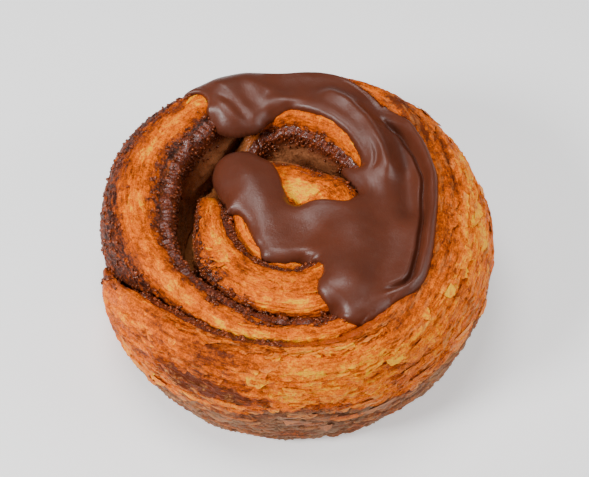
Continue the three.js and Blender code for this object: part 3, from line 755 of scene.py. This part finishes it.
# The marks of the baked crust, from which its relief and its colour are made.
def crustMarks(grid, sugar):
    angle, out, bare = grid["angle"], grid["out"], grid["bare"]
    wall = smoothstep(out, 3.5, 8) * bare * (1 - smoothstep(angle, 446, 462))
    flaky = (0.25 + 0.75 * wall) * (1 - sugar)
    # Overlapping layers of dough run along the strip and show as low steps with sharp, broken edges.
    phase = out / dough["layerPeriod"] + 1.5 * pattern("broadWarp", grid) + 0.5 * pattern("fineWarp", grid)
    layer = np.floor(phase)
    strength = smoothstep(pattern("strength", grid), -0.3, 0.5)
    layers = ((phase - layer) ** 1.7 - 0.37) * strength * (0.35 + 0.65 * wall) * (1 - 0.8 * sugar)
    # Thin sheets end in a ragged, raised edge; the shade mark beside it is a painted shadow.
    sheet = pattern("sheets", grid)
    # Fine cracks sink into the relief and are painted darker as their shade.
    crack = hump(pattern("cracks", grid), 0.05) * (1 - sugar)
    crack = crack * smoothstep(pattern("crackPlaces", grid), -0.35, 0.1)
    # The foot is browned and splits into thin layers.
    ragged = pattern("ragged", grid)
    footAt = curveThrough(dough["foot"], angle)
    foot = smoothstep(out + 1.8 * ragged, footAt - 1.2, footAt + 1.0) * bare
    foot = foot * (1 - smoothstep(angle, 450, 470))
    strata = (out + 1.3 * pattern("strata", grid)) / dough["footPeriod"]
    return {"wall": wall, "flaky": flaky, "layers": layers, "crack": crack, "ragged": ragged, "foot": foot,
            "layerTone": pattern("layerTone", grid, layer * 7.31), "step": strata - np.floor(strata),
            "raised": smoothstep(sheet, 0.0, 0.09) * flaky, "rim": hump(sheet - 0.06, 0.06) * flaky,
            "shade": hump(sheet + 0.04, 0.05) * flaky,
            "bubbles": lumpsOf(grid["points"], dough["bubbleSizes"], 62, 0.6),
            "lumps": lumpsOf(grid["points"], dough["grainSizes"], 81, 0.35)}


# Depth of the long creases, and the darkening of tone painted as shade in them.
def creasesOver(grid):
    angle, out = grid["angle"], grid["out"]
    depths, changes = 0.0, 0.0
    for (start, end), (outStart, outEnd), halfWidth, depth, change in dough["creases"]:
        at = outStart + (outEnd - outStart) * (angle - start) / (end - start)
        at = at + 0.9 * noise(plane(grid["along"] / 13, 0 * out, start), 64)
        line = between(angle, (start, start + 12), (end - 12, end)) * hump(out - at, halfWidth)
        depths, changes = depths + depth * line, changes + change * line
    return depths, changes


def crustRelief(grid, marks, sugar):
    points = grid["points"]
    return (dough["layerRelief"] * marks["layers"] + dough["flakeRelief"] * marks["raised"]
            - dough["crackDepth"] * marks["crack"]
            + dough["footRelief"] * (marks["step"] ** 1.5 - 0.4) * marks["foot"]
            + dough["bubble"] * (marks["bubbles"] - 0.4) * (1 - 0.3 * sugar)
            + dough["crag"] * fractal(points / dough["cragSize"], 3, 61) * (0.6 + 0.4 * marks["wall"])
            + dough["swell"] * noise(points / dough["swellSize"], 71) - 0.3
            + dough["grain"] * (marks["lumps"] - 0.35) * smoothstep(sugar, 0.15, 0.7))


def crustTone(grid, marks, points, dark, sugar, wobble):
    angle, out = grid["angle"], grid["out"]
    bareOut, bareIn = curveThrough(dough["bareOut"], angle), curveThrough(dough["bareIn"], angle)
    tone = 0.60 + 0.09 * marks["layerTone"] + 0.12 * marks["raised"] - 0.06 * marks["flaky"]
    # Painted highlight: lighter along the ridge's crest, darker down its sides, not low on the bare wall.
    crestHighlight = hump(out - 0.4 * (bareOut - bareIn), 0.55 * (np.minimum(bareOut, 8) + bareIn))
    tone = tone + 0.20 * (crestHighlight - 0.5) * (1 - smoothstep(out, 6, 10) * grid["bare"])
    # Clouds of baking; bubble tops painted lighter and the dips between them darker, as painted light and
    # shade.
    tone = tone + 0.16 * fractal(points / dough["cloudSize"], 4, 91) + 0.12 * (marks["bubbles"] - 0.4)
    movedAngle, movedOut = angle + 5 * pattern("patchAngle", grid), out + 1.6 * pattern("patchSide", grid)
    for atAngle, atOut, halfAngle, halfOut, change in dough["patches"]:
        apart = ((movedAngle - atAngle) / halfAngle) ** 2 + ((movedOut - atOut) / halfOut) ** 2
        tone = tone + change * smoothstep(np.exp(-apart), 0.12, 0.62)
    # Each layer of the foot is painted lighter towards its raised edge, a painted highlight.
    footTone = 0.10 + 0.36 * marks["step"] ** 2 + 0.10 * marks["layerTone"] + 0.14 * marks["ragged"]
    tone = blend(tone, footTone, marks["foot"])
    # Sugar is painted lighter on its lumps and darker between them, a painted highlight and shade.
    sugarTone = 0.36 + 0.34 * (marks["lumps"] - 0.4) + 0.12 * wobble - 0.17 * smoothstep(dark, 0.75, 1.0)
    tone = blend(tone, sugarTone, smoothstep(sugar, 0.08, 0.8))
    # Painted shadow beside the raised sheet edges and painted shade in the fine cracks.
    return tone - 0.11 * marks["shade"] - 0.12 * marks["crack"]


# Dry pale flakes, the foot's dull layers with a painted highlight on their raised edges, and the wet walls
# of the hollow, whose syrup colour is lightened as painted fill light.
def crustFinish(grid, marks, sugar):
    angle, out = grid["angle"], grid["out"]
    threads = smoothstep(np.abs(pattern("threads", grid)), 0.10, 0.02)
    # Pale is thin grey threads and, on the raised edges of the foot's layers, a painted highlight.
    pale = np.maximum(threads, smoothstep(marks["step"], 0.6, 0.95))
    gray = marks["foot"] * (0.26 + 0.7 * pale * smoothstep(pattern("dull", grid), -0.4, 0.1))
    rightSide = between(angle, (285, 325), (425, 445)) * smoothstep(pattern("dry", grid), -0.05, 0.4)
    lip = between(angle, (226, 238), (300, 318)) * hump(out + 1.0, 1.1)
    lip = lip * smoothstep(pattern("lip", grid), -0.1, 0.3)
    low = smoothstep(out, 12, 18)
    tan = marks["rim"] * (0.40 + 0.5 * low) + rightSide * (0.34 + 0.36 * low) * (1 - sugar)
    inHollow = smoothstep(-out, 6, 10) * smoothstep(curveThrough(strip["openGap"], angle), 0.5, 3)
    faceHollow = smoothstep(curveThrough(strip["openGap"], angle - fullTurn), 0.5, 3) * (angle > 500)
    faceHollow = faceHollow * smoothstep(out, 5.5, 9)
    dip = between(angle, (822, 838), (872, 892))
    syrupAndFillLight = np.maximum(np.maximum(inHollow, faceHollow), dip * 0.9)
    return np.maximum(tan, 0.8 * lip), gray, syrupAndFillLight


def doughPiece():
    grid = doughGrid()
    wobble = pattern("wobble", grid)
    dark, sugar = sugarOver(grid, wobble)
    marks = crustMarks(grid, sugar)
    creaseDepth, creaseShade = creasesOver(grid)
    relief = crustRelief(grid, marks, sugar) - creaseDepth
    points = underIcing(grid["points"] + grid["normals"] * relief[..., None])
    tone = crustTone(grid, marks, points, dark, sugar, wobble) + creaseShade
    tan, gray, syrupAndFillLight = crustFinish(grid, marks, sugar)
    outsideWall = smoothstep(grid["out"], 3, 7) * grid["bare"]
    wet = np.maximum(sugar * (1 - 0.9 * outsideWall), syrupAndFillLight)
    values = {"tone": tone, "sugar": sugar, "tan": tan, "gray": gray, "syrupAndFillLight": syrupAndFillLight, "wet": wet}
    values = {key: np.clip(value, 0, 1).ravel() for key, value in values.items()}
    values["strip"] = plane(grid["along"], grid["out"]).reshape(-1, 3)
    flat = points.reshape(-1, 3)
    values["place"] = flat
    stickiness = sugar * (1 - syrupAndFillLight) * (1 - 0.45 * outsideWall)
    sticky = (flat, facingNormals(points, grid["rings"], 10).reshape(-1, 3), stickiness.ravel())
    print(f"scene: dough strip of {points.shape[0]} rings by {points.shape[1]} points")
    strands = (flat, gridFaces(*points.shape[:2]), values)
    return joinedPieces([strands, flakeParts(grid, points, tone, gray)]), sticky


# Thin flakes of crust that have lifted off the lip, the wall, the foot and the ridges.
flakes = {
    "seed": 5, "columns": 9, "rows": 5, "bend": 50, "turn": 0.16, "ragged": 0.45, "crumple": 0.12,
    # Winding angles, distances out from the ridge, number, lengths, widths, lift, paler by and share of tan.
    "zones": [
        ((228, 300), (-1.6, 0.8), 70, (2.0, 7.0), (0.9, 2.4), 0.70, 0.12, 0.35),
        ((250, 350), (3, 18), 60, (3.0, 9.0), (1.2, 3.2), 0.30, 0.06, 0.20),
        ((205, 262), (3, 20), 25, (2.0, 7.0), (0.8, 2.2), 0.30, 0.06, 0.10),
        ((212, 345), (19, 31), 130, (3.0, 10.0), (0.8, 2.4), 0.45, 0.10, 0.70),
        ((345, 425), (1, 22), 70, (3.0, 8.0), (1.0, 2.8), 0.30, 0.06, 0.20),
        ((470, 690), (-1.5, 3), 60, (2.0, 6.0), (0.5, 1.2), 0.24, 0.06, 0.10),
        ((905, 1040), (-3, 5), 50, (2.0, 6.0), (0.5, 1.2), 0.24, 0.06, 0.10)],
}


# Directions on the strip at one place of its grid: out of it, along it and down from its ridge.
def flakeAxes(grid, points, ring, column, chance):
    up = grid["normals"][ring, column]
    ahead = points[ring + 3, column] - points[ring - 3, column]
    ahead = ahead - up * (ahead @ up)
    ahead /= np.linalg.norm(ahead)
    down = np.cross(up, ahead)
    down *= np.sign(down @ (points[ring, column - 3] - points[ring, column + 3]))
    turned = chance.normal(0, flakes["turn"])
    return up, ahead + down * turned, down - ahead * turned


# One flake: a small sheet with a ragged edge, sunk along its upper side and lifted at its lower one.
def flakeOn(grid, points, tones, grays, zone, chance):
    angles, sides, _, lengths, widths, lift, paler, tan = zone
    places = np.linspace(-1, 1, flakes["columns"]), np.linspace(0, 1, flakes["rows"])
    p, q = np.meshgrid(*places, indexing="ij")
    ring = np.searchsorted(grid["rings"], chance.uniform(*angles))
    column = np.abs(grid["out"][ring] - chance.uniform(*sides)).argmin()
    length, width = chance.uniform(*lengths), chance.uniform(*widths)
    up, ahead, down = flakeAxes(grid, points, ring, column, chance)
    along = p * length / 2
    tatter = fractal(plane(p * length / 1.6, 0 * p, chance.uniform(0, 90)), 2, 171)
    edge = np.sqrt(1 - 0.96 * np.abs(p) ** 2.4) * (1 + flakes["ragged"] * tatter)
    across = (q * edge - 0.35) * width
    raised = lift * chance.uniform(0.4, 1.2) * q ** 1.6 * edge - 0.05 - along ** 2 / (2 * flakes["bend"])
    raised = raised + flakes["crumple"] * noise(plane(p * length / 1.5, q, chance.uniform(0, 90)), 172)
    spot = points[ring, column] + ahead * along[..., None] + down * across[..., None]
    flat = underIcing(spot + up * raised[..., None]).reshape(-1, 3)
    zero = np.zeros(len(flat))
    tone = tones[ring, column] + paler + chance.normal(0, 0.05) + 0.14 * (q.ravel() - 0.5)
    side = np.stack([along, across, 0 * p + chance.uniform(10, 90)], -1).reshape(-1, 3)
    values = {"tone": np.clip(tone, 0, 1), "tan": tan * (chance.random() + 0.6 * q.ravel() ** 2),
              "gray": zero + grays[ring, column] * 0.6, "sugar": zero, "wet": zero, "syrupAndFillLight": zero,
              "strip": side, "place": flat}
    return flat, gridFaces(*p.shape), values


def flakeParts(grid, points, tones, grays):
    chance = np.random.default_rng(flakes["seed"])
    return joinedPieces([flakeOn(grid, points, tones, grays, zone, chance)
                         for zone in flakes["zones"] for _ in range(zone[2])])


# The underside: a flat crust that closes the strip from below.
def crustPiece():
    turn = np.linspace(0, 2 * math.pi, 181)
    floor, rim = strip["floorHeight"], strip["floorRadius"]
    radius = np.array([0, 20, 38, rim, rim - 1, 20, 0])
    height = np.array([0, 0, 0, 1.5, floor, floor, floor])
    points = np.stack([np.outer(radius, np.cos(turn)), np.outer(radius, np.sin(turn)),
                       np.outer(height, np.ones(len(turn)))], -1)
    flat = points.reshape(-1, 3)
    zero = np.zeros(len(flat))
    values = {"tone": zero + 0.35, "sugar": zero, "tan": zero + 0.2, "gray": zero, "wet": zero,
              # Its top inside the hollow takes the syrup colour with its painted fill light.
              "syrupAndFillLight": np.where(flat[:, 2] > 5, 1.0, 0.0), "strip": flat, "place": flat}
    return flat, gridFaces(*points.shape[:2]), values


# Dark cinnamon sugar: a thick grainy skin on the inner face of the strip. Its depth value grows down into the
# hollow, where the colour turns lighter as painted fill light, and golden is where the lip meets the next
# turn without sugar.
filling = {
    "ringStep": 0.4, "across": 64, "from": 199, "to": 1054, "grain": 0.40, "clump": 0.45,
    "dark": (0.060, 0.014, 0.008), "red": (0.125, 0.023, 0.008), "amber": (0.28, 0.046, 0.008),
    "deep": (0.540, 0.200, 0.080), "golden": (0.40, 0.062, 0.003),
}


def fillingMaterial():
    material, tree, surface = newMaterial("cinnamon_sugar")
    place = attribute(tree, "place", vector=True)
    golden = attribute(tree, "golden")
    grain = noiseOf(tree, place, 1.7, 5, 0.65)
    color = rampOf(tree, grain, [(0.36, filling["dark"]), (0.52, filling["red"]), (0.72, filling["amber"])])
    # Deep in the hollow the colour turns to a lighter one, a painted fill light.
    color = mixed(tree, attribute(tree, "depth"), color, filling["deep"])
    lumpy = bumped(tree, cellsOf(tree, place, 1.4), 0.5, -0.4)
    setInputs(tree, surface, {
        "Base Color": mixed(tree, golden, color, filling["golden"]),
        "Roughness": mapped(tree, grain, 0.3, 0.7, 0.16, 0.42),
        "Normal": bumped(tree, grain, 0.7, 0.40, lumpy),
        "Coat Weight": mapped(tree, golden, 0, 1, 0.55, 0.05),
        "Coat Normal": bumped(tree, grain, 0.3, 0.4),
        "Coat Roughness": 0.12, "Specular IOR Level": 0.2})
    return material


# The inner face up to where the sugar ends on the slope: radii, heights and lengths along each section.
def fillingSections(angle, ragged):
    s = {key: value[:, None] for key, value in stripAt(angle).items()}
    reach = np.clip(curveThrough(strip["fillingReach"], angle) * (1 + 0.8 * ragged), 0.05, None)[:, None]
    reach = np.minimum(reach, 0.85 * (s["ridge"] - s["inside"]))
    t = np.linspace(0, 1, 50)[None, :]
    across = 1 - t * reach / (s["ridge"] - s["inside"])
    up = np.maximum(0, 1 - across ** strip["domePower"]) ** (1 / strip["domePower"])
    slopeR, slopeZ = blend(s["ridge"], s["inside"], across), blend(s["innerShoulder"], s["height"], up)
    footZ = blend(strip["floorHeight"] + strip["clearance"], s["innerShoulder"], t)
    r = np.concatenate([np.broadcast_to(s["inside"], footZ.shape), slopeR[:, 1:]], 1)
    z = np.concatenate([footZ, slopeZ[:, 1:]], 1)
    weight = np.maximum(0.15, smoothstep(s["gap"], 0.2, 1.5) * 0.6)
    weight = np.maximum(weight, smoothstep(z, s["innerShoulder"] - 3, s["innerShoulder"] - 0.5))
    r, z, length = resampled(tuckedIn(r, z), z, weight, filling["across"])
    return r, z, length, s["innerShoulder"]


def fillingPiece():
    rings, along = ringAngles(filling["from"], filling["to"], filling["ringStep"])
    ragged = fractal(plane(along / 3.5, 0 * along, 4), 3, 121)
    r, z, length, shoulder = fillingSections(rings, ragged)
    points = aroundAxis(r, z, rings)
    normals = facingNormals(points, rings, 5, -1)
    toEdge = length[:, -1:] - length
    thick = strip["clearance"] + fillingAt(rings + fullTurn)[:, None]
    body = blend(-0.35, thick, smoothstep(toEdge, 0.0, 1.6) * smoothstep(length, 0, 0.5))
    uncovered = smoothstep(toEdge, 0.0, 0.8)
    grains = filling["grain"] * (lumpsOf(points, (2.0, 1.0), 131, 0.4) - 0.4)
    body = body + uncovered * (grains + filling["clump"] * noise(points / 3.0, 134))
    body = blend(-0.6, body, smoothstep(rings, 203, 216)[:, None])
    points = underIcing(points + normals * body[..., None])
    depth = smoothstep(z, shoulder - 1.0, shoulder - 8.0)
    front = smoothstep(rings + 6 * ragged, 258, 280) * (1 - smoothstep(rings, 430, 450))
    golden = np.broadcast_to(front[:, None], z.shape)
    flat = points.reshape(-1, 3)
    stickiness = (1 - 0.9 * depth) * (uncovered > 0.3) * (1 - golden)
    values = {"depth": depth.ravel(), "golden": golden.ravel(), "place": flat}
    return (flat, gridFaces(*points.shape[:2]), values), (flat, normals.reshape(-1, 3), stickiness.ravel())


# Beads of melted sugar that stand on the sticky crust and catch the light.
beads = {
    "count": 5000, "small": 0.18, "large": 0.62, "sunk": 0.25, "seed": 7, "lowest": 20,
    "dark": (0.070, 0.017, 0.009), "amber": (0.240, 0.046, 0.013),
}


def beadsMaterial():
    material, tree, surface = newMaterial("sugar_beads")
    setInputs(tree, surface, {
        "Base Color": mixed(tree, attribute(tree, "shade"), beads["dark"], beads["amber"]),
        "Roughness": 0.14, "Specular IOR Level": 0.4, "Specular Tint": (1.0, 0.80, 0.62, 1)})
    return material


# Corners and sides of a ball with 20 faces.
def roughBall():
    g = (1 + math.sqrt(5)) / 2
    corners = np.array([(-1, g, 0), (1, g, 0), (-1, -g, 0), (1, -g, 0), (0, -1, g), (0, 1, g),
                        (0, -1, -g), (0, 1, -g), (g, 0, -1), (g, 0, 1), (-g, 0, -1), (-g, 0, 1)])
    sides = np.array([(0, 11, 5), (0, 5, 1), (0, 1, 7), (0, 7, 10), (0, 10, 11), (1, 5, 9), (5, 11, 4),
                      (11, 10, 2), (10, 7, 6), (7, 1, 8), (3, 9, 4), (3, 4, 2), (3, 2, 6), (3, 6, 8),
                      (3, 8, 9),
                      (4, 9, 5), (2, 4, 11), (6, 2, 10), (8, 6, 7), (9, 8, 1)])
    return corners / np.linalg.norm(corners[0]), sides


def beadsPiece(sources):
    chance = np.random.default_rng(beads["seed"])
    count = beads["count"]
    points, normals, weight = (np.concatenate(part) for part in zip(*sources))
    clear = atIcing(poured["inward"], points[:, 0], points[:, 1]) < 0.2
    onTop = (normals[:, 2] > -0.1) & (points[:, 2] > beads["lowest"]) & clear
    clumped = smoothstep(noise(points / 2.6, 161), -0.35, 0.35)
    weight = np.clip(weight - 0.25, 0, 1) * onTop * (0.25 + clumped)
    pick = chance.choice(len(points), count, replace=False, p=weight / weight.sum())
    ball, sides = roughBall()
    size = beads["small"] + (beads["large"] - beads["small"]) * chance.random(count) ** 2.2
    squash = chance.uniform(0.75, 1.25, (count, 1, 3))
    middle = points[pick] + normals[pick] * (size * (0.5 - beads["sunk"]))[:, None]
    corners = middle[:, None, :] + ball[None] * squash * size[:, None, None]
    faces = sides[None] + len(ball) * np.arange(count)[:, None, None]
    shade = np.repeat(chance.random(count), len(ball))
    return corners.reshape(-1, 3), faces.reshape(-1, 3), {"shade": shade}


def addPiece(name, parts, material, node=None):
    points, faces, values = parts
    piece = meshObject(name, placed(points), faces, values, material)
    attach(piece, "root")
    if node:
        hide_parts(node)
    print(f"scene: {name} has {len(faces)} faces")


doughParts, stickyDough = doughPiece()
fillingParts, stickyFilling = fillingPiece()
doughParts = joinedPieces([doughParts, crustPiece()])
addPiece("baked_spiral", doughParts, doughMaterial(), "dough_spiral")
addPiece("cinnamon_crust", fillingParts, fillingMaterial(), "cinnamon_filling")
addPiece("poured_icing", icingPiece(), icingMaterial(), "chocolate_icing")
addPiece("sugar_beads", beadsPiece([stickyDough, stickyFilling]), beadsMaterial())

# The camera of the photograph: it looks down at the middle of the pastry from the front.
camera = {"elevation": 55, "distance": 380, "target": (0.41, 0, 22.8), "focal": 85.26, "sensor": 36}


def addCamera():
    data = bpy.data.cameras.new("camera")
    data.sensor_width = camera["sensor"]
    data.lens = camera["focal"]
    data.clip_start = 0.01
    eye = shown("camera", data)
    target = Vector(camera["target"]) + Vector((*strip["shift"], 0))
    tilt = math.radians(camera["elevation"])
    ahead = Vector((0, math.cos(tilt), -math.sin(tilt)))
    eye.location = (target - ahead * camera["distance"]) * mm
    eye.rotation_euler = ahead.to_track_quat("-Z", "Y").to_euler()
    bpy.context.scene.camera = eye


# Soft studio light: name, place and aim in millimetres, size in millimetres and power in watts.
lights = {
    "world": 0.17, "floor": (0.92, 0.92, 0.92), "floorReach": 3000, "glow": 0.45,
    "areas": [
        ("overhead", (-60, 60, 460), (0, 0, 20), 220, 1.35),
        ("left", (-380, -190, 330), (0, 0, 20), 150, 2.95),
        ("right", (420, -60, 260), (0, 0, 15), 300, 1.3)],
}


def addLights():
    for name, place, aim, size, power in lights["areas"]:
        data = bpy.data.lights.new(name, "AREA")
        data.shape = "DISK"
        data.size = size * mm
        data.energy = power
        lamp = shown(name, data)
        lamp.location = Vector(place) * mm
        lamp.rotation_euler = (Vector(aim) - Vector(place)).to_track_quat("-Z", "Y").to_euler()
    world = bpy.data.worlds.new("studio")
    world.use_nodes = True
    tree = world.node_tree
    setInputs(tree, tree.nodes["Background"], {"Color": (1, 1, 1, 1), "Strength": lights["world"]})
    bpy.context.scene.world = world


def addFloor():
    material, tree, surface = newMaterial("floor")
    setInputs(tree, surface, {"Base Color": (*lights["floor"], 1), "Roughness": 0.9,
                              "Emission Color": (1, 1, 1, 1), "Emission Strength": lights["glow"]})
    corners = lights["floorReach"] * np.array([(-1, -1, 0), (1, -1, 0), (1, 1, 0), (-1, 1, 0)], float)
    meshObject("floor", corners, np.array([[0, 1, 2, 3]]), {}, material)


addCamera()
addLights()
addFloor()
print("scene: camera, light and floor ready")
